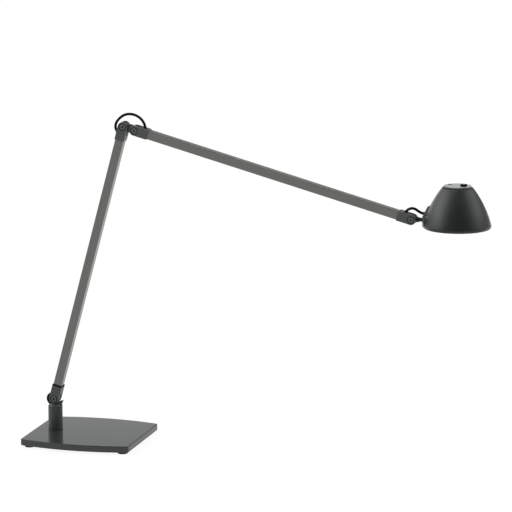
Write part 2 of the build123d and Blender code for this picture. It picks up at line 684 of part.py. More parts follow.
# The solid bounded by the shade's outer wall, with its rounded lip, from the rim's plane upwards.
def bell():
    lip_r = wall_radius(LIP_H)
    middle = (LIP_H + SHADE_TOP_H) / 2
    with BuildPart() as solid:
        with BuildSketch(SHADE_PLANE):
            with BuildLine():
                Line((0, 0), (lip_r - LIP_TUCK, 0))
                RadiusArc((lip_r - LIP_TUCK, 0), (lip_r, LIP_H), -LIP_H * 1.2)
                ThreePointArc(
                    (lip_r, LIP_H),
                    (wall_radius(middle), middle),
                    (wall_radius(SHADE_TOP_H), SHADE_TOP_H),
                )
                Line((wall_radius(SHADE_TOP_H), SHADE_TOP_H), (0, SHADE_TOP_H))
                Line((0, SHADE_TOP_H), (0, 0))
            make_face()
        revolve(axis=SHADE_AXIS)
    return solid.part


# The two bracket screws go in from the shade's inside, square to its wall.
BRACKET_SCREW_ANGLE = 23.0
BRACKET_SCREW_Y = 4.0
screw_a = math.radians(BRACKET_SCREW_ANGLE)
BRACKET_SCREW_DIR = Vector(-math.cos(screw_a), 0, math.sin(screw_a))
BRACKET_SCREW_PLANE = Plane(
    Vector(SHADE_X - SHADE_ARC_X, 0, RIM_Z + SHADE_ARC_Z) + BRACKET_SCREW_DIR * (SHADE_ARC_R - SHADE_WALL),
    x_dir=(math.sin(screw_a), 0, math.cos(screw_a)),
    z_dir=BRACKET_SCREW_DIR,
)

with BuildPart() as shade:
    add(bell())
    fillet(shade.edges().filter_by(GeomType.CIRCLE).sort_by(Axis.Z)[-1], 0.6)
    # the inside below the shelf, and the shallow well above it
    with BuildSketch(SHADE_PLANE):
        with BuildLine():
            low = wall_radius(LIP_H, SHADE_WALL)
            middle = (LIP_H + SHELF_H) / 2
            Line((0, -1), (low - 1.2, -1))
            Line((low - 1.2, -1), (low, LIP_H))
            ThreePointArc(
                (low, LIP_H),
                (wall_radius(middle, SHADE_WALL), middle),
                (wall_radius(SHELF_H, SHADE_WALL), SHELF_H),
            )
            Line((wall_radius(SHELF_H, SHADE_WALL), SHELF_H), (0, SHELF_H))
            Line((0, SHELF_H), (0, -1))
        make_face()
    revolve(axis=SHADE_AXIS, mode=Mode.SUBTRACT)
    with BuildSketch(Plane.XY.offset(RIM_Z + SHELF_H + SHELF_T)):
        with Locations((SHADE_X, 0)):
            Circle(wall_radius(SHADE_TOP_H, SHADE_WALL))
    extrude(amount=SHADE_TOP_H, mode=Mode.SUBTRACT)
    with BuildSketch(Plane.XY.offset(RIM_Z + SHELF_H)):
        with Locations((SHADE_X, 0)):
            with PolarLocations(SCREW_RING_R, 3, start_angle=60):
                Circle(SCREW_R)
            with PolarLocations(SCREW_RING_R, 5, start_angle=90, angular_range=240, endpoint=True):
                Circle(VENT_R)
    extrude(amount=SHELF_T, mode=Mode.SUBTRACT)
    # holes for the stem's bush and for the cable, behind the bracket
    with BuildSketch(across_head(BRACKET_X)):
        Circle(ROD_BUSH_R)
        with Locations((0, HEAD_GLAND_Z)):
            Circle(LEAD_BORE_R)
    extrude(amount=20, mode=Mode.SUBTRACT)
    with BuildSketch(BRACKET_SCREW_PLANE):
        with Locations((0, BRACKET_SCREW_Y), (0, -BRACKET_SCREW_Y)):
            Circle(BRACKET_SCREW_R)
    extrude(amount=SHADE_WALL * 3, both=True, mode=Mode.SUBTRACT)
write(shade.part, "shade")

# --- Bracket ----------------------------------------------------------------------------------------
with BuildPart() as head_bracket:
    with BuildSketch(STEM_PLANE):
        with BuildLine():
            Polyline(
                (BRACKET_X, BRACKET_BOTTOM + 2),
                (BRACKET_X, BRACKET_KNEE),
                (BRACKET_X + BRACKET_SLANT, BRACKET_TOP),
                (BRACKET_X + BRACKET_SLANT + 4, BRACKET_TOP),
                (BRACKET_X + 14, BRACKET_BOTTOM + 2),
                (BRACKET_X + 8, BRACKET_BOTTOM),
                (BRACKET_X + 1.5, BRACKET_BOTTOM),
                close=True,
            )
        make_face()
    extrude(amount=BRACKET_W / 2, both=True)
    fillet(head_bracket.faces().filter_by(Axis.Y).edges().filter_by(lambda e: e.center().X < HEAD_PIVOT.X + 28), 1.0)
    add(bell(), mode=Mode.SUBTRACT)
    with BuildSketch(across_head(BRACKET_X - 1)):
        Circle(ROD_BUSH_R)
        with Locations((0, HEAD_GLAND_Z)):
            Circle(LEAD_BORE_R)
    extrude(amount=20, mode=Mode.SUBTRACT)
    with BuildSketch(BRACKET_SCREW_PLANE):
        with Locations((0, BRACKET_SCREW_Y), (0, -BRACKET_SCREW_Y)):
            Circle(BRACKET_SCREW_R)
    extrude(amount=SHADE_WALL + BRACKET_SCREW_BITE, mode=Mode.SUBTRACT)
write(head_bracket.part, "head_bracket")

HEAD_STAND_OFF = 0.7  # the wall is hollow and the screws' heads are flat
with BuildPart() as bracket_screws:
    with BuildSketch(BRACKET_SCREW_PLANE.offset(-HEAD_STAND_OFF)):
        with Locations((0, BRACKET_SCREW_Y), (0, -BRACKET_SCREW_Y)):
            Circle(BRACKET_SCREW_R)
    extrude(amount=HEAD_STAND_OFF + SHADE_WALL + BRACKET_SCREW_BITE)
    with BuildSketch(BRACKET_SCREW_PLANE.offset(-HEAD_STAND_OFF)):
        with Locations((0, BRACKET_SCREW_Y), (0, -BRACKET_SCREW_Y)):
            Circle(2.3)
    extrude(amount=-1.3)
write(bracket_screws.part, "bracket_screws")

GLAND_X = BRACKET_X + (HEAD_GLAND_Z - BRACKET_KNEE) / (BRACKET_TOP - BRACKET_KNEE) * BRACKET_SLANT
with BuildPart() as head_cable_gland:
    with BuildSketch(across_head(GLAND_X - GLAND_PROUD)):
        with Locations((0, HEAD_GLAND_Z)):
            Circle(GLAND_R)
            Circle(GLAND_BORE_R, mode=Mode.SUBTRACT)
    extrude(amount=GLAND_PROUD + GLAND_DEEP)
write(head_cable_gland.part, "head_cable_gland")

# --- The stem's bearing, and the nut that holds the stem from inside the shade ------------------------
write(stem_section(BRACKET_X, ROD_BUSH_END - BRACKET_X, ROD_BUSH_R, STEM_R + PIN_CLEAR), "stem_rod_bush")
NUT_X = ROD_BUSH_END + PIN_CLEAR
with BuildPart() as stem_rod_nut:
    with BuildSketch(across_head(NUT_X)):
        Circle(ROD_NUT_R)
        Circle(STEM_R, mode=Mode.SUBTRACT)
    extrude(amount=ROD_FLANGE_T)
    with BuildSketch(across_head(NUT_X + ROD_FLANGE_T)):
        RegularPolygon(ROD_NUT_R, 6)
        Circle(STEM_R, mode=Mode.SUBTRACT)
    extrude(amount=ROD_NUT_H)
write(stem_rod_nut.part, "stem_rod_nut")


# --- Inside the shade -------------------------------------------------------------------------------
def level(height):
    return Plane(origin=(SHADE_X, 0, RIM_Z + height), x_dir=(1, 0, 0), z_dir=(0, 0, 1))


FIN_H = SHELF_H - SINK_PLATE_H - SINK_PLATE_T
LEAD_H = SINK_PLATE_H + SINK_PLATE_T / 2
LEAD_BITE = 4.0  # how far the lead reaches into the heat sink's plate
with BuildPart() as heat_sink:
    with BuildSketch(level(SINK_PLATE_H)):
        Circle(SINK_PLATE_R)
    extrude(amount=SINK_PLATE_T)
    with BuildSketch(level(SINK_PLATE_H + SINK_PLATE_T)) as fins:
        with GridLocations(0, FIN_PITCH, 1, FIN_COUNT):
            Rectangle(2 * FIN_R, FIN_T)
        Circle(FIN_R, mode=Mode.INTERSECT)
        with PolarLocations(SCREW_RING_R, 3, start_angle=60):
            Circle(2 * SCREW_R)
            Circle(SCREW_R, mode=Mode.SUBTRACT)
    extrude(amount=FIN_H)
    with BuildSketch(Plane(level(LEAD_H).origin - Vector(SINK_PLATE_R, 0, 0), x_dir=(0, 1, 0), z_dir=(1, 0, 0))):
        Circle(CABLE_R + PIN_CLEAR)
    extrude(amount=LEAD_BITE, mode=Mode.SUBTRACT)
write(heat_sink.part, "heat_sink")

with BuildPart() as heat_sink_screws:
    with BuildSketch(level(SHELF_H + SHELF_T)):
        with PolarLocations(SCREW_RING_R, 3, start_angle=60):
            Circle(SCREW_HEAD_R)
    extrude(amount=2)
    with BuildSketch(level(SINK_PLATE_H + SINK_PLATE_T + 1)):
        with PolarLocations(SCREW_RING_R, 3, start_angle=60):
            Circle(SCREW_R)
    extrude(amount=FIN_H + SHELF_T - 1)
write(heat_sink_screws.part, "heat_sink_screws")

with BuildPart() as led_board:
    with BuildSketch(level(SINK_PLATE_H)):
        Circle(BOARD_R)
    extrude(amount=-BOARD_T)
    with BuildSketch(level(SINK_PLATE_H - BOARD_T)):
        Circle(CHIP_R)
    extrude(amount=-CHIP_T)
write(led_board.part, "led_board")

# A cone from the heat sink's plate down to the diffuser, with a rim that reaches the shade's wall and a
# notch in the rim for the lead.
NOTCH_R = 42.0
NOTCH_W = 5.0
with BuildPart() as reflector:
    with BuildSketch(SHADE_PLANE):
        with BuildLine():
            wall_top = wall_radius(REFLECTOR_RIM_H + REFLECTOR_WALL, SHADE_WALL) - 0.05
            wall_low = wall_radius(REFLECTOR_RIM_H, SHADE_WALL) - 0.05
            Polyline(
                (REFLECTOR_TOP_R, SINK_PLATE_H),
                (DIFFUSER_R, REFLECTOR_RIM_H),
                (wall_low, REFLECTOR_RIM_H),
                (wall_top, REFLECTOR_RIM_H + REFLECTOR_WALL),
                (DIFFUSER_R + 0.7, REFLECTOR_RIM_H + REFLECTOR_WALL),
                (REFLECTOR_TOP_R + 1.4, SINK_PLATE_H),
                close=True,
            )
        make_face()
    revolve(axis=SHADE_AXIS)
    with BuildSketch(level(REFLECTOR_RIM_H)):
        with Locations((-NOTCH_R - 10, 0)):
            Rectangle(20, NOTCH_W)
    extrude(amount=REFLECTOR_WALL, mode=Mode.SUBTRACT)
write(reflector.part, "reflector")

with BuildPart() as diffuser:
    with BuildSketch(level(REFLECTOR_RIM_H)):
        Circle(DIFFUSER_R + 2)
    extrude(amount=-DIFFUSER_T)
    fillet(diffuser.edges().sort_by(Axis.Z)[0], 0.6)
write(diffuser.part, "diffuser")

# --- Top cap, sensor window, button and switch --------------------------------------------------------
CAP_UNDER = CAP_TOP_H - CAP_T
SHELF_TOP = SHELF_H + SHELF_T
with BuildPart() as shade_cap:
    with BuildSketch(level(CAP_UNDER)):
        Circle(CAP_R)
    extrude(amount=CAP_T)
    fillet(shade_cap.edges().sort_by(Axis.Z)[-1], 0.5)
    with BuildSketch(level(SHELF_TOP)):
        Circle(CAP_SKIRT_R)
        Circle(CAP_SKIRT_BORE_R, mode=Mode.SUBTRACT)
    extrude(amount=CAP_UNDER - SHELF_TOP)
    with BuildSketch(level(SHELF_TOP + 1)):
        with PolarLocations(CAP_SKIRT_R, 10, start_angle=18):
            Rectangle(6, 5)
    extrude(amount=CAP_UNDER - SHELF_TOP - 1, mode=Mode.SUBTRACT)
    with BuildSketch(level(CAP_UNDER)):
        with Locations((BUTTON_X, BUTTON_Y)):
            Circle(BUTTON_HOLE_R)
    extrude(amount=CAP_T, mode=Mode.SUBTRACT)
    with BuildSketch(level(CAP_TOP_H)):
        with Locations((SENSOR_X, SENSOR_Y)):
            Circle(SENSOR_R)
    extrude(amount=-SENSOR_T, mode=Mode.SUBTRACT)
write(shade_cap.part, "shade_cap")

with BuildPart() as sensor_window:
    with BuildSketch(level(CAP_TOP_H - SENSOR_T)):
        with Locations((SENSOR_X, SENSOR_Y)):
            Circle(SENSOR_R)
    extrude(amount=SENSOR_T)
write(sensor_window.part, "sensor_window")

BUTTON_TOP = CAP_TOP_H + BUTTON_PROUD
BUTTON_FLANGE_TOP = CAP_UNDER - 0.3
BUTTON_BOTTOM = BUTTON_FLANGE_TOP - BUTTON_FLANGE_T
with BuildPart() as dimmer_button:
    with BuildSketch(level(BUTTON_BOTTOM)):
        with Locations((BUTTON_X, BUTTON_Y)):
            Circle(BUTTON_R)
    extrude(amount=BUTTON_TOP - BUTTON_BOTTOM)
    fillet(dimmer_button.edges().sort_by(Axis.Z)[-1], 0.4)
    with BuildSketch(level(BUTTON_BOTTOM)):
        with Locations((BUTTON_X, BUTTON_Y)):
            Circle(BUTTON_FLANGE_R)
    extrude(amount=BUTTON_FLANGE_T)
    with BuildSketch(level(BUTTON_BOTTOM)):
        with Locations((BUTTON_X, BUTTON_Y)):
            Circle(DOT_R)
    extrude(amount=BUTTON_TOP - BUTTON_BOTTOM, mode=Mode.SUBTRACT)
write(dimmer_button.part, "dimmer_button")

with BuildPart() as button_light_pipe:
    with BuildSketch(level(BUTTON_BOTTOM)):
        with Locations((BUTTON_X, BUTTON_Y)):
            Circle(DOT_R)
    extrude(amount=BUTTON_TOP - BUTTON_BOTTOM)
write(button_light_pipe.part, "button_light_pipe")

with BuildPart() as switch_board:
    with BuildSketch(level(SHELF_TOP)):
        with Locations((BUTTON_X, BUTTON_Y)):
            Rectangle(12, 11)
    extrude(amount=SWITCH_BOARD_T)
    with BuildSketch(level(SHELF_TOP + SWITCH_BOARD_T)):
        with Locations((BUTTON_X, BUTTON_Y)):
            Rectangle(6, 6)
    extrude(amount=SWITCH_T)
    with BuildSketch(level(SHELF_TOP + SWITCH_BOARD_T + SWITCH_T)):
        with Locations((BUTTON_X, BUTTON_Y)):
            Circle(1.6)
    extrude(amount=SWITCH_PLUNGER)
write(switch_board.part, "switch_board")

# --- Leads held inside the lamp, and the loops over its joints ----------------------------------------
LEAD_SPLIT = 20.0  # foot pivot to the place where the foot loop starts
SPIGOT_SPLIT_Z = SPIGOT_BOTTOM + 7


# The lead's corner inside a knuckle, and its end at the mouth of the gland.
def exit_points(plane, outer, exit_at, exit_angle):
    drop = (KNUCKLE_R - LEAD_Y) / math.tan(math.radians(exit_angle))
    corner = at(plane, exit_at + drop, outer * LEAD_Y)
    end = at(plane, exit_at, outer * KNUCKLE_R) + exit_direction(plane, outer, exit_angle) * GLAND_PROUD
    return corner, end


low_corner, low_end = exit_points(ELBOW_A_PLANE, -1, ELBOW_LOW_EXIT, ELBOW_LOW_ANGLE)
high_corner, high_end = exit_points(ELBOW_B_PLANE, 1, ELBOW_HIGH_EXIT, ELBOW_HIGH_ANGLE)
head_corner, head_end = exit_points(HEAD_PLANE, -1, HEAD_EXIT, HEAD_ANGLE)
foot_start = at(FOOT_PLANE, LEAD_SPLIT, LEAD_Y)
loop_end = HOLE_TOP - HOLE_UP * 3

post_lead_low = Vector(POST_X, 0, CONNECTOR_Z + CONNECTOR_H)
spigot_split = Vector(POST_X, 0, SPIGOT_SPLIT_Z)
write(cable("post_lead", (post_lead_low, spigot_split)), "post_lead")
write(cable("swivel_lead", (spigot_split, HOLE_BOTTOM, loop_end)), "swivel_lead")

foot_turn = at(FOOT_PLANE, 8.6, LEAD_Y)
foot_pivot = FOOT_PLANE.origin
foot_loop_points = (
    foot_start,
    foot_turn,
    foot_pivot + Vector(-13.7, 0, 5.2),
    HOLE_TOP + HOLE_UP * 7.2,
    loop_end,
)
write(cable("foot_loop", foot_loop_points), "foot_loop")
write(cable("lower_arm_lead", (foot_start, low_corner, low_end)), "lower_arm_lead")

elbow_mid = (ELBOW_A + ELBOW_B) * 0.5
elbow_top = elbow_mid + Vector(0, 0, 24.4)
low_dir = exit_direction(ELBOW_A_PLANE, -1, ELBOW_LOW_ANGLE)
high_dir = exit_direction(ELBOW_B_PLANE, 1, ELBOW_HIGH_ANGLE)
elbow_low_points = (
    low_end,
    low_end + low_dir * 5.5,
    elbow_mid + Vector(-24.4, 0, 8.9),
    elbow_mid + Vector(-16.3, 0, 18.7),
    elbow_mid + Vector(-6.4, 0, 24.2),
    elbow_top,
)
write(cable("elbow_loop_lower", elbow_low_points), "elbow_loop_lower")
elbow_high_points = (
    elbow_top,
    elbow_mid + Vector(6.8, 0, 24.6),
    elbow_mid + Vector(18.1, 0, 19.4),
    high_end + high_dir * 7,
    high_end,
)
write(cable("elbow_loop_upper", elbow_high_points), "elbow_loop_upper")
write(cable("upper_arm_lead", (high_end, high_corner, head_corner, head_end)), "upper_arm_lead")

head_dir = exit_direction(HEAD_PLANE, -1, HEAD_ANGLE)
head_rise = head_end + head_dir * 12
head_fall = HEAD_PIVOT + Vector(15.9, 0, HEAD_GLAND_Z)
head_split = head_rise + (head_fall - head_rise) * 0.45
head_in = HEAD_PIVOT + Vector(GLAND_X + 1, 0, HEAD_GLAND_Z)
write(cable("head_loop_tilt", (head_end, head_rise, head_split)), "head_loop_tilt")
write(cable("head_loop_roll", (head_split, head_fall, head_in)), "head_loop_roll")
lead_rise = HEAD_PIVOT + Vector(29.8, 0, HEAD_GLAND_Z)
lead_turn = Vector(lead_rise.X + (LEAD_H + RIM_Z - lead_rise.Z) / math.tan(math.radians(60)), 0, LEAD_H + RIM_Z)
lead_end = Vector(SHADE_X - SINK_PLATE_R + LEAD_BITE, 0, LEAD_H + RIM_Z)
write(cable("head_lead", (head_in, lead_rise, lead_turn, lead_end)), "head_lead")
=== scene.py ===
"""Looks of the swing arm desk lamp, in metres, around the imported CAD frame."""

import json
import math

import bmesh
import bpy
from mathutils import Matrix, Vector


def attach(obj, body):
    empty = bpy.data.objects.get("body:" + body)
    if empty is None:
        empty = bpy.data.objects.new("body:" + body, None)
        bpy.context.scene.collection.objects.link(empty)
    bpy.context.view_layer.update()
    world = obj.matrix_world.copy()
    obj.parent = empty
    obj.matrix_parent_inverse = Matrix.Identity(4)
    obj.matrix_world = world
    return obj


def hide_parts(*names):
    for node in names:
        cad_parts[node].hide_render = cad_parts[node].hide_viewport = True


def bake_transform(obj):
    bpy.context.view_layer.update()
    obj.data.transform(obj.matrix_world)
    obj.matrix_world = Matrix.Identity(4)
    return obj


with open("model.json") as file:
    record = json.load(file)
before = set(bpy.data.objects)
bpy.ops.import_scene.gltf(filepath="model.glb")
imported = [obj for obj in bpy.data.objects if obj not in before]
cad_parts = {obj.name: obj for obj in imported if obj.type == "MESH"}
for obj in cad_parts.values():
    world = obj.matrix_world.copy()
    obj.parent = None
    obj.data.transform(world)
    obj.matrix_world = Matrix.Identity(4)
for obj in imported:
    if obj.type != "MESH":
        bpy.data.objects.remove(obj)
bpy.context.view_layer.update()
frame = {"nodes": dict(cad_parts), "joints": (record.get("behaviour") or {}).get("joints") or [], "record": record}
nodes = frame["nodes"]
slots = {s["node"]: s["material_slot"] for s in frame["record"]["subparts"]}
joint_at = {j["name"]: Vector(j["pos_m"]) for j in frame["joints"] if j["type"] == "hinge"}
scene = bpy.context.scene
MM = 0.001

# --- Places and sizes shared with the CAD part, in metres ---------------------------------------------
FOOT = joint_at["lower_arm_tilt"]
ELBOW_A = joint_at["elbow_lower_fold"]
ELBOW_B = joint_at["elbow_upper_fold"]
HEAD = joint_at["head_tilt"]
LEAN = math.radians(15)
CABLE_R = 2.3 * MM
SHADE_REACH = 77.1 * MM  # from the head's pivot to the shade's axis
RIM_DROP = 10.6 * MM  # from the head's pivot down to the shade's rim
SHADE_FOOT = Vector((HEAD.x + SHADE_REACH, 0, HEAD.z - RIM_DROP))


# --- Camera -------------------------------------------------------------------------------------------
AZIMUTH = math.radians(15.9)
ELEVATION = math.radians(11.14)
DISTANCE = 5.581
TARGET = Vector((0.3004, 0, 0.3414))
SENSOR_MM = 36
LENS_MM = 231.7
FAR_LIMIT = 60
camera_data = bpy.data.cameras.new("camera")
camera_data.sensor_width = SENSOR_MM
camera_data.lens = LENS_MM
camera_data.clip_end = FAR_LIMIT
camera = bpy.data.objects.new("camera", camera_data)
scene.collection.objects.link(camera)
back = Vector(
    (
        math.sin(AZIMUTH) * math.cos(ELEVATION),
        -math.cos(AZIMUTH) * math.cos(ELEVATION),
        math.sin(ELEVATION),
    )
)
camera.location = TARGET + back * DISTANCE
camera.rotation_euler = (-back).to_track_quat("-Z", "Y").to_euler()
scene.camera = camera


# --- Materials ----------------------------------------------------------------------------------------
def grey(level):
    """The linear value of an sRGB level from 0 to 255."""
    v = level / 255
    return v / 12.92 if v <= 0.04045 else ((v + 0.055) / 1.055) ** 2.4


def colour(r, g, b):
    return (grey(r), grey(g), grey(b), 1)


def material(
    name,
    base,
    roughness,
    metallic=0.0,
    specular=0.5,
    transmission=0.0,
    ior=1.5,
    grain=1200.0,
    bump=0.1,
    bump_depth=0.00004,
    mottle=0.12,
    mottle_scale=60.0,
    rough_spread=0.06,
    stretch=None,
    turn=0.0,
):
    """A finish with fine bump, slow colour variation and uneven gloss. stretch draws the grain out along the
    direction that is turned from X by an angle about Y, as brushing does."""
    m = bpy.data.materials.new(name)
    m.use_nodes = True
    tree = m.node_tree
    tree.nodes.clear()
    out = tree.nodes.new("ShaderNodeOutputMaterial")
    shader = tree.nodes.new("ShaderNodeBsdfPrincipled")
    shader.inputs["Metallic"].default_value = metallic
    shader.inputs["Specular IOR Level"].default_value = specular
    shader.inputs["Transmission Weight"].default_value = transmission
    shader.inputs["IOR"].default_value = ior
    place = tree.nodes.new("ShaderNodeTexCoord")
    mapping = tree.nodes.new("ShaderNodeMapping")
    mapping.vector_type = "POINT"
    tree.links.new(place.outputs["Object"], mapping.inputs["Vector"])
    if stretch:
        mapping.inputs["Rotation"].default_value = (0, turn, 0)
        squeeze = tree.nodes.new("ShaderNodeMapping")
        squeeze.inputs["Scale"].default_value = (1 / stretch, 1, 1)
        tree.links.new(mapping.outputs["Vector"], squeeze.inputs["Vector"])
        fine_from = squeeze
    else:
        fine_from = mapping
    fine = tree.nodes.new("ShaderNodeTexNoise")
    fine.inputs["Scale"].default_value = grain
    fine.inputs["Detail"].default_value = 3
    tree.links.new(fine_from.outputs["Vector"], fine.inputs["Vector"])
    slow = tree.nodes.new("ShaderNodeTexNoise")
    slow.inputs["Scale"].default_value = mottle_scale
    slow.inputs["Detail"].default_value = 4
    tree.links.new(fine_from.outputs["Vector"], slow.inputs["Vector"])
    tone = tree.nodes.new("ShaderNodeMix")
    tone.data_type = "RGBA"
    dark = tuple(c * (1 - mottle) for c in base[:3]) + (1,)
    light = tuple(min(1, c * (1 + mottle)) for c in base[:3]) + (1,)
    tone.inputs[6].default_value = dark
    tone.inputs[7].default_value = light
    tree.links.new(slow.outputs["Fac"], tone.inputs[0])
    tree.links.new(tone.outputs[2], shader.inputs["Base Color"])
    spread = tree.nodes.new("ShaderNodeMapRange")
    spread.inputs["To Min"].default_value = max(0.02, roughness - rough_spread)
    spread.inputs["To Max"].default_value = min(1, roughness + rough_spread)
    tree.links.new(fine.outputs["Fac"], spread.inputs["Value"])
    tree.links.new(spread.outputs["Result"], shader.inputs["Roughness"])
    relief = tree.nodes.new("ShaderNodeBump")
    relief.inputs["Strength"].default_value = bump
    relief.inputs["Distance"].default_value = bump_depth
    tree.links.new(fine.outputs["Fac"], relief.inputs["Height"])
    tree.links.new(relief.outputs["Normal"], shader.inputs["Normal"])
    tree.links.new(shader.outputs["BSDF"], out.inputs["Surface"])
    return m


BRUSH = dict(stretch=60.0, grain=2500.0, mottle_scale=500.0, bump=0.08, bump_depth=0.00003, rough_spread=0.03)
TUBE = dict(base=colour(126, 125, 122), roughness=0.24, metallic=0.55, **BRUSH)
finishes = {
    "slate_plate": material(
        "slate_plate", colour(56, 62, 61), 0.16, specular=0.6, bump=0.08, rough_spread=0.04
    ),
    "slate_alloy": material("slate_alloy", colour(84, 89, 86), 0.4, specular=0.5, bump=0.3),
    "slate_steel": material("slate_steel", colour(96, 101, 98), 0.35, specular=0.5, bump=0.2),
    "tube_alloy": material("tube_alloy", **TUBE),
    "shade_alloy": material("shade_alloy", colour(38, 46, 43), 0.33, specular=0.5, bump=0.2),
    "bare_alloy": material("bare_alloy", colour(190, 190, 190), 0.4, metallic=1.0, bump=0.3),
    "black_steel": material("black_steel", colour(30, 30, 31), 0.36, specular=0.4, bump=0.2),
    "zinc_steel": material("zinc_steel", colour(180, 182, 185), 0.3, metallic=1.0, bump=0.2),
    "black_rubber": material("black_rubber", colour(14, 14, 14), 0.8, specular=0.2, bump=0.5),
    "cable_pvc": material("cable_pvc", colour(5, 5, 5), 0.5, specular=0.15, bump=0.1),
    "black_nylon": material("black_nylon", colour(14, 14, 15), 0.55, specular=0.25, bump=0.3),
    "white_plastic": material("white_plastic", colour(238, 238, 236), 0.5, bump=0.15, mottle=0.02),
    "dark_window": material("dark_window", colour(8, 8, 10), 0.6, specular=0.05, bump=0.02, mottle=0.05),
    "button_plastic": material("button_plastic", colour(8, 8, 8), 0.6, specular=0.06, bump=0.2),
    "light_pipe": material("light_pipe", colour(196, 140, 136), 0.35, transmission=0.2, bump=0.05),
    "board_laminate": material("board_laminate", colour(40, 96, 58), 0.45, bump=0.2),
    "frosted": material(
        "frosted", colour(240, 240, 236), 0.6, transmission=0.5, ior=1.49, bump=0.3, mottle=0.02
    ),
}
own_finish = {
    "shade_cap": material("cap_alloy", colour(70, 78, 75), 0.2, specular=0.8, bump=0.06, rough_spread=0.03),
    "post_tube": material("post_paint", colour(76, 82, 80), 0.36, specular=0.4, bump=0.2),
    "lower_arm_tube": material("lower_tube", turn=math.pi / 2 - LEAN, **TUBE),
    "upper_arm_tube": material("upper_tube", turn=-LEAN, **TUBE),
}

for node, obj in nodes.items():
    finish = own_finish.get(node, finishes[slots[node]])
    obj.data.materials.clear()
    obj.data.materials.append(finish)


# --- Cables over the joints -----------------------------------------------------------------------------
CABLE_STEPS = 12
CABLE_ROUNDNESS = 6


def cable(name, points, way_in, way_out, node):
    """A round cable through the given points, with its two end directions, in place of the given node, which it
    hides.
    """
    curve = bpy.data.curves.new(name, "CURVE")
    curve.dimensions = "3D"
    spline = curve.splines.new("BEZIER")
    spline.bezier_points.add(len(points) - 1)
    ways = [way_in.normalized()]
    for before, after in zip(points, points[2:]):
        ways.append((after - before).normalized())
    ways.append(way_out.normalized())
    spans = [(b - a).length for a, b in zip(points, points[1:])]
    for knot, point, way, before, after in zip(
        spline.bezier_points, points, ways, spans[:1] + spans, spans + spans[-1:]
    ):
        knot.co = point
        knot.handle_left_type = knot.handle_right_type = "FREE"
        knot.handle_left = point - way * before / 3
        knot.handle_right = point + way * after / 3
    spline.resolution_u = CABLE_STEPS
    curve.bevel_depth = CABLE_R
    curve.bevel_resolution = CABLE_ROUNDNESS
    curve.use_fill_caps = True
    lead = bpy.data.objects.new(name + "_curve", curve)
    scene.collection.objects.link(lead)
    mesh = bpy.data.meshes.new_from_object(lead.evaluated_get(bpy.context.evaluated_depsgraph_get()))
    bpy.data.objects.remove(lead)
    mesh.name = name
    piece = bpy.data.objects.new(name, mesh)
    scene.collection.objects.link(piece)
    mesh.materials.clear()
    mesh.materials.append(finishes["cable_pvc"])
    mesh.shade_smooth()
    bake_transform(piece)
    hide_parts(node)
    return piece


def polar(angle):
    return Vector((math.cos(angle), 0, math.sin(angle)))


def in_plane(x, z):
    return Vector((x * MM, 0, z * MM))


# The lower arm's outer side is on the left, and the upper arm's is on top.
arm_up = polar(math.pi / 2 - LEAN)
arm_left = polar(math.pi - LEAN)
arm_down_right = polar(-LEAN)
arm_top = polar(math.pi / 2 - LEAN)


def along(plane_x, plane_y, x, y):
    return plane_x * x * MM + plane_y * y * MM


def exit_way(plane_x, plane_y, degrees):
    """The direction in which a cable leaves a knuckle: towards the pivot, and outwards."""
    a = math.radians(degrees)
    return plane_x * -math.cos(a) + plane_y * math.sin(a)


# Foot: out of the lower knuckle's slot, down the left of the pivot, and into the swivel's neck.
hole_top = FOOT + in_plane(-9.2, -10)
hole_up = in_plane(-9.2, 10.45).normalized()
cable(
    "foot_cable",
    (
        FOOT + along(arm_up, arm_left, 20, 2.5),
        FOOT + along(arm_up, arm_left, 13, 2.7),
        FOOT + in_plane(-4.6, 8.9),
        FOOT + in_plane(-11.4, 4.6),
        FOOT + in_plane(-13.5, -1.9),
        hole_top + hole_up * 3 * MM,
        hole_top - hole_up * 3 * MM,
    ),
    -arm_up,
    -hole_up,
    "foot_loop",
)

# Elbow: one arch over the two pivots, in two halves that meet at its top.
level_way = Vector((1, 0, 0))
elbow_mid = (ELBOW_A + ELBOW_B) / 2
elbow_top = elbow_mid + in_plane(0, 24.4)
low_way = exit_way(-arm_up, arm_left, 45)
low_mouth = ELBOW_A + along(-arm_up, arm_left, 13, 8.5)
cable(
    "elbow_cable_lower",
    (
        low_mouth,
        elbow_mid + in_plane(-25.3, 0),
        elbow_mid + in_plane(-24.1, 8.2),
        elbow_mid + in_plane(-17.8, 16.6),
        elbow_mid + in_plane(-9.3, 22.4),
        elbow_top,
    ),
    low_way,
    level_way,
    "elbow_loop_lower",
)
high_way = exit_way(arm_down_right, arm_top, 65)
high_mouth = ELBOW_B + along(arm_down_right, arm_top, 15.7, 8.5)
cable(
    "elbow_cable_upper",
    (
        elbow_top,
        elbow_mid + in_plane(10.3, 22.8),
        elbow_mid + in_plane(19.6, 17.3),
        elbow_mid + in_plane(25.6, 9.4),
        high_mouth,
    ),
    level_way,
    -high_way,
    "elbow_loop_upper",
)

# Head: over the pivot and into the bracket, in two halves that meet above the stem.
head_way = exit_way(-arm_down_right, arm_top, 50)
head_mouth = HEAD + along(-arm_down_right, arm_top, 13.5, 8.5)
head_split = HEAD + in_plane(6.6, 16.9)
split_way = in_plane(6.2, -3.4)
cable(
    "head_cable_tilt",
    (head_mouth, HEAD + in_plane(-6.6, 15.9), HEAD + in_plane(-0.2, 18.4), head_split),
    head_way,
    split_way,
    "head_loop_tilt",
)
cable(
    "head_cable_roll",
    (head_split, HEAD + in_plane(12.6, 13.2), HEAD + in_plane(17.6, 11), HEAD + in_plane(22.2, 10.6)),
    split_way,
    level_way,
    "head_loop_roll",
)


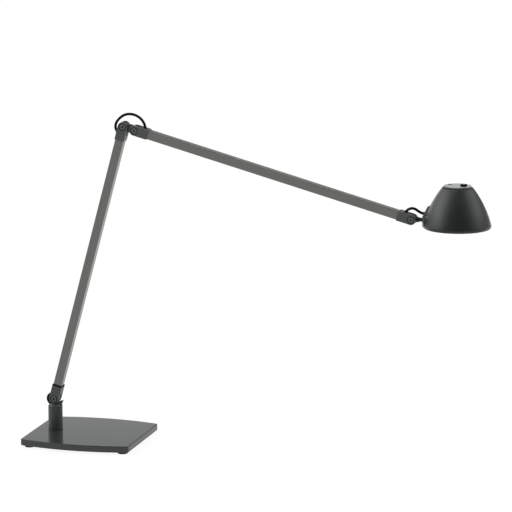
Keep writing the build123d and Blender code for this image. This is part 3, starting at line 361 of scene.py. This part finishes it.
# --- Shade, turned from one outline ---------------------------------------------------------------------
def lathe(name, outline, centre, steps=192):
    """A closed solid of revolution about the vertical through centre. The outline is a closed list of
    (radius, height) in millimetres, in order, and a radius of 0 closes it on the axis."""
    bm = bmesh.new()
    rings = []
    for r, h in outline:
        if r == 0:
            rings.append([bm.verts.new(centre + Vector((0, 0, h * MM)))])
            continue
        ring = []
        for i in range(steps):
            a = 2 * math.pi * i / steps
            ring.append(bm.verts.new(centre + Vector((r * math.cos(a), r * math.sin(a), h)) * MM))
        rings.append(ring)
    pairs = list(zip(rings, rings[1:]))
    if outline[0][0] != 0:
        pairs.append((rings[-1], rings[0]))
    for low, high in pairs:
        for i in range(steps):
            j = (i + 1) % steps
            if len(low) == 1 and len(high) == 1:
                break
            if len(low) == 1:
                bm.faces.new((low[0], high[j], high[i]))
            elif len(high) == 1:
                bm.faces.new((low[i], low[j], high[0]))
            else:
                bm.faces.new((low[i], low[j], high[j], high[i]))
    bmesh.ops.recalc_face_normals(bm, faces=bm.faces)
    mesh = bpy.data.meshes.new(name)
    bm.to_mesh(mesh)
    bm.free()
    mesh.shade_smooth()
    mesh.set_sharp_from_angle(angle=math.radians(40))
    piece = bpy.data.objects.new(name, mesh)
    scene.collection.objects.link(piece)
    return piece


def finish_piece(piece, body, slot, replaced):
    piece.data.materials.append(finishes[slot])
    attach(piece, body)
    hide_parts(*replaced)


# the wall's outline is an arc, in millimetres, about a centre across the shade's axis
ARC_R = 177.15
ARC_X = -114.3
ARC_H = -40.57
WALL = 1.5


def wall_radius(height, inside=0.0):
    return ARC_X + math.sqrt((ARC_R - inside) ** 2 - (height - ARC_H) ** 2)


LIP_H = 4.2
TOP_H = 68.1
SHELF_H = 62.0
SHELF_TOP = 63.5
HOLE_R = 2.0  # in the shelf, for the lead
ROUNDING_H = 0.6  # of the outer top edge
STEPS = 44
lip_r = wall_radius(LIP_H)
outline = []
for i in range(STEPS + 1):
    h = LIP_H + (TOP_H - ROUNDING_H - LIP_H) * i / STEPS
    outline.append((wall_radius(h), h))
top_r = wall_radius(TOP_H)
well_r = wall_radius(TOP_H, WALL)
# the top edge is rounded outside and chamfered down into the well that holds the cap
outline += [(top_r - 0.15, TOP_H - 0.12), (top_r - 0.35, TOP_H), (top_r - 0.55, TOP_H - 0.05)]
outline += [(well_r, TOP_H - 0.8), (well_r, SHELF_TOP), (HOLE_R, SHELF_TOP), (HOLE_R, SHELF_H)]
for i in range(STEPS + 1):
    h = SHELF_H + (LIP_H - SHELF_H) * i / STEPS
    outline.append((wall_radius(h, WALL), h))
# the rolled lip at the rim
outline += [(lip_r - 2.2, 0.35), (lip_r - 2.0, 0.05), (lip_r - 1.7, 0.0), (lip_r - 1.3, 0.25)]
outline += [(lip_r - 0.75, 1.2), (lip_r - 0.3, 2.4), (lip_r - 0.07, 3.4)]
shade = lathe("shade_bell", outline, SHADE_FOOT)
finish_piece(shade, "head", "shade_alloy", ["shade"])


# --- Floor and light ------------------------------------------------------------------------------------
FLOOR_HALF = 30
FLOOR_GLOW = 0.92
FLOOR_GREY = 0.12
FLOOR_FRONT = 0.72
FLOOR_BACK = 1.0
FLOOR_FADE = (0.0, 0.3)
# AROUND runs from straight behind the lamp (0) to the front view's side (1), RISE from level (0) to straight
# up (1), and ACROSS from left (0) to right (1). ROOM is the sides' light, and BACK is the low glow behind.
ROOM_AROUND = ((0.0, 0.0), (0.2, 0.45), (0.4, 1.0), (0.6, 1.0), (0.73, 0.4), (0.86, 0.05), (1.0, 0.03))
ROOM_RISE = ((0.0, 0.08), (0.15, 0.28), (0.4, 1.1), (0.7, 0.8), (1.0, 0.1))
ROOM_ACROSS = ((0.0, 1.1), (0.5, 0.8), (1.0, 0.7))
BACK_AROUND = ((0.0, 1.0), (0.25, 0.7), (0.45, 0.0))
BACK_RISE = ((0.0, 0.52), (0.215, 0.5), (0.265, 0.02))
BACK_ACROSS = ((0.0, 0.6), (0.4, 1.0), (0.54, 1.0), (0.68, 0.15))
ROOM_STRENGTH = 2.5
TOP_BOX = 4


def emitter(name, centre, aim, size, strength):
    data = bpy.data.lights.new(name, "AREA")
    data.shape = "RECTANGLE"
    data.size, data.size_y = size
    data.energy = strength
    lamp = bpy.data.objects.new(name, data)
    lamp.location = centre
    lamp.rotation_euler = (Vector(aim) - Vector(centre)).to_track_quat("-Z", "Y").to_euler()
    scene.collection.objects.link(lamp)


floor_mesh = bpy.data.meshes.new("floor")
corners = [(x * FLOOR_HALF, y * FLOOR_HALF, 0) for x, y in ((-1, -1), (1, -1), (1, 1), (-1, 1))]
floor_mesh.from_pydata(corners, [], [(0, 1, 2, 3)])
floor = bpy.data.objects.new("floor", floor_mesh)
scene.collection.objects.link(floor)
floor_finish = bpy.data.materials.new("floor_paint")
floor_finish.use_nodes = True
tree = floor_finish.node_tree
tree.nodes.clear()
out = tree.nodes.new("ShaderNodeOutputMaterial")
paint = tree.nodes.new("ShaderNodeBsdfDiffuse")
glow = tree.nodes.new("ShaderNodeEmission")
both = tree.nodes.new("ShaderNodeAddShader")
paint.inputs["Color"].default_value = (FLOOR_GREY, FLOOR_GREY, FLOOR_GREY, 1)
glow.inputs["Strength"].default_value = FLOOR_GLOW
tree.links.new(paint.outputs[0], both.inputs[0])
tree.links.new(glow.outputs[0], both.inputs[1])
# what the lamp itself sees of the floor is dull in front and bright behind
dull = tree.nodes.new("ShaderNodeEmission")
spot = tree.nodes.new("ShaderNodeTexCoord")
parts = tree.nodes.new("ShaderNodeSeparateXYZ")
tree.links.new(spot.outputs["Object"], parts.inputs[0])
fade = tree.nodes.new("ShaderNodeMapRange")
fade.interpolation_type = "SMOOTHSTEP"
fade.inputs["From Min"].default_value = FLOOR_FADE[0]
fade.inputs["From Max"].default_value = FLOOR_FADE[1]
fade.inputs["To Min"].default_value = FLOOR_FRONT
fade.inputs["To Max"].default_value = FLOOR_BACK
tree.links.new(parts.outputs["Y"], fade.inputs["Value"])
tree.links.new(fade.outputs["Result"], dull.inputs["Strength"])
rays = tree.nodes.new("ShaderNodeLightPath")
mix = tree.nodes.new("ShaderNodeMixShader")
tree.links.new(rays.outputs["Is Camera Ray"], mix.inputs[0])
tree.links.new(dull.outputs[0], mix.inputs[1])
tree.links.new(both.outputs[0], mix.inputs[2])
tree.links.new(mix.outputs[0], out.inputs["Surface"])
floor.data.materials.append(floor_finish)

# The studio: dark in front, bright at the sides, with a low glow behind, and white where the camera sees it.
world = bpy.data.worlds.new("studio")
scene.world = world
world.use_nodes = True
tree = world.node_tree
tree.nodes.clear()


def ramp(source, stops):
    """Grey levels against a value from 0 to 1."""
    node = tree.nodes.new("ShaderNodeValToRGB")
    node.color_ramp.interpolation = "EASE"
    marks = node.color_ramp.elements
    while len(marks) < len(stops):
        marks.new(0.5)
    for mark, (place, _) in zip(marks, stops):
        mark.position = place
    for mark, (_, level) in zip(marks, stops):
        mark.color = (level, level, level, 1)
    tree.links.new(source, node.inputs["Fac"])
    return node.outputs["Color"]


def maths(kind, a, b):
    node = tree.nodes.new("ShaderNodeMath")
    node.operation = kind
    for socket, value in zip(node.inputs, (a, b)):
        if isinstance(value, float):
            socket.default_value = value
        else:
            tree.links.new(value, socket)
    return node.outputs[0]


out = tree.nodes.new("ShaderNodeOutputWorld")
sky = tree.nodes.new("ShaderNodeBackground")
room = tree.nodes.new("ShaderNodeBackground")
way = tree.nodes.new("ShaderNodeTexCoord")
parts = tree.nodes.new("ShaderNodeSeparateXYZ")
tree.links.new(way.outputs["Generated"], parts.inputs[0])


def heading(x, y):
    """How far a direction points along (x, y), from 0 to 1."""
    along_x = maths("MULTIPLY", parts.outputs["X"], x)
    along_y = maths("MULTIPLY", parts.outputs["Y"], y)
    return maths("ADD", maths("MULTIPLY", maths("ADD", along_x, along_y), 0.5), 0.5)


def product(a, b, c):
    return maths("MULTIPLY", maths("MULTIPLY", a, b), c)


ahead = heading(math.sin(AZIMUTH), -math.cos(AZIMUTH))
sideways = heading(math.cos(AZIMUTH), math.sin(AZIMUTH))
upward = maths("MAXIMUM", parts.outputs["Z"], 0.0)
sides = product(ramp(ahead, ROOM_AROUND), ramp(upward, ROOM_RISE), ramp(sideways, ROOM_ACROSS))
behind = product(ramp(ahead, BACK_AROUND), ramp(upward, BACK_RISE), ramp(sideways, BACK_ACROSS))
whole = maths("ADD", sides, behind)
tree.links.new(whole, room.inputs["Color"])
room.inputs["Strength"].default_value = ROOM_STRENGTH
rays = tree.nodes.new("ShaderNodeLightPath")
mix = tree.nodes.new("ShaderNodeMixShader")
tree.links.new(rays.outputs["Is Camera Ray"], mix.inputs[0])
tree.links.new(room.outputs[0], mix.inputs[1])
tree.links.new(sky.outputs[0], mix.inputs[2])
tree.links.new(mix.outputs[0], out.inputs["Surface"])
sky.inputs["Color"].default_value = (1, 1, 1, 1)

emitter("top_box", (0.3, -0.4, 2.6), (0.3, 0, 0.2), (0.7, 0.7), TOP_BOX)

scene.view_settings.view_transform = "Standard"
